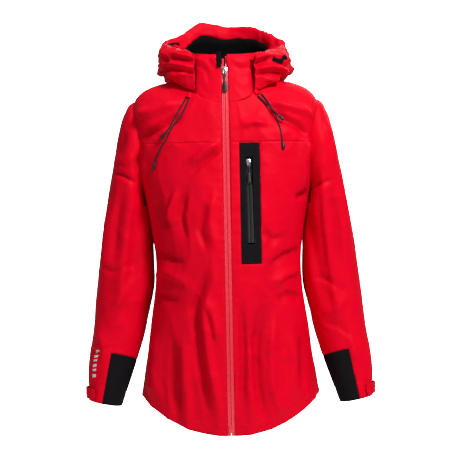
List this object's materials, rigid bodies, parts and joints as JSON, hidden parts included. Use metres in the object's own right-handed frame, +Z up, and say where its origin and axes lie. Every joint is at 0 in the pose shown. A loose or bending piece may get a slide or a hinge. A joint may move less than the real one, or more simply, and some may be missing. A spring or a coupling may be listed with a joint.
{
  "type": "hardshell jacket",
  "caption": "Red women's hardshell jacket with rolled hood, black forearm and chest pocket panels, and coated zips with moving sliders.",
  "frame": {"origin": "the gap of the hang loop inside the back of the collar", "axes": "+Z up, the jacket faces -Y, and +X is the wearer's left"},
  "size_m": [0.5614, 0.2679, 0.7818],
  "materials": {
    "red_shell": "satin",
    "black_panel_cloth": "matte",
    "black_lining": "matte",
    "hook_and_loop": "matte",
    "red_zip_coating": "gloss",
    "black_zip_coating": "gloss",
    "zip_coil": "satin",
    "zip_metal": "satin",
    "moulded_black": "matte",
    "hood_cord": "matte",
    "reflective_print": "satin"
  },
  "bodies": {
    "garment": {"back_panel": "red_shell", "chest_pocket_panel": "black_panel_cloth", "collar_back": "red_shell", "collar_left": "red_shell", "collar_lining": "black_lining", "collar_right": "red_shell", "front_storm_flap": "black_lining", "front_zip_box": "zip_metal", "front_zip_coil_left": "zip_coil", "front_zip_coil_right": "zip_coil", "front_zip_tape_left": "red_zip_coating", "front_zip_tape_right": "red_zip_coating", "hang_loop": "black_lining", "hem_facing": "black_lining", "hood_lining": "black_lining", "hood_shell": "red_shell", "left_cord_long": "hood_cord", "left_cord_long_tip": "moulded_black", "left_cord_short": "hood_cord", "left_cord_short_tip": "moulded_black", "left_cord_tunnel": "red_shell", "left_cuff_facing": "black_lining", "left_cuff_loop_patch": "hook_and_loop", "left_forearm_panel": "black_panel_cloth", "left_front_panel": "red_shell", "left_front_yoke": "red_shell", "left_sleeve": "red_shell", "left_sleeve_dash": "reflective_print", "pocket_bag": "black_lining", "pocket_zip_coil_left": "zip_coil", "pocket_zip_coil_right": "zip_coil", "pocket_zip_tape_left": "black_zip_coating", "pocket_zip_tape_right": "black_zip_coating", "right_cord_long": "hood_cord", "right_cord_long_tip": "moulded_black", "right_cord_short": "hood_cord", "right_cord_short_tip": "moulded_black", "right_cord_tunnel": "red_shell", "right_cuff_facing": "black_lining", "right_cuff_loop_patch": "hook_and_loop", "right_forearm_panel": "black_panel_cloth", "right_front_panel": "red_shell", "right_front_yoke": "red_shell", "right_sleeve": "red_shell", "right_sleeve_strip": "reflective_print"},
    "front_slider": {"front_zip_slider": "zip_metal"},
    "front_pull": {"front_zip_pull_bail": "zip_metal", "front_zip_pull_grip": "moulded_black"},
    "pocket_slider": {"pocket_zip_slider": "zip_metal"},
    "pocket_pull": {"pocket_zip_pull_bail": "zip_metal", "pocket_zip_pull_grip": "moulded_black"},
    "left_tab": {"left_cuff_tab": "red_shell", "left_cuff_hook_patch": "hook_and_loop"},
    "right_tab": {"right_cuff_tab": "red_shell", "right_cuff_hook_patch": "hook_and_loop"}
  },
  "joints": [
    {"name": "front_zip_travel", "type": "hinge", "parent": "garment", "child": "front_slider", "pos_m": [0, 1.809, -0.468], "axis": [1, 0, 0], "range_deg": [-0.5, 18.9]},
    {"name": "front_pull_swing", "type": "hinge", "parent": "front_slider", "child": "front_pull", "pos_m": [0, -0.13732, 0.00044], "axis": [-1, 0, 0], "range_deg": [0, 150]},
    {"name": "pocket_zip_travel", "type": "hinge", "parent": "garment", "child": "pocket_slider", "pos_m": [-0.19386, 1.79686, -0.468], "axis": [0.9929, 0.1191, 0], "range_deg": [0, 4.1]},
    {"name": "pocket_pull_swing", "type": "hinge", "parent": "pocket_slider", "child": "pocket_pull", "pos_m": [0.04212, -0.16963, -0.17672], "axis": [-0.9929, -0.1191, 0], "range_deg": [0, 150]},
    {"name": "left_tab_peel", "type": "hinge", "parent": "garment", "child": "left_tab", "pos_m": [0.25601, -0.01132, -0.5973], "axis": [-0.1063, 0.2846, 0.9527], "range_deg": [0, 120]},
    {"name": "right_tab_peel", "type": "hinge", "parent": "garment", "child": "right_tab", "pos_m": [-0.25601, -0.01132, -0.5973], "axis": [-0.1063, -0.2846, -0.9527], "range_deg": [0, 120]}
  ]
}
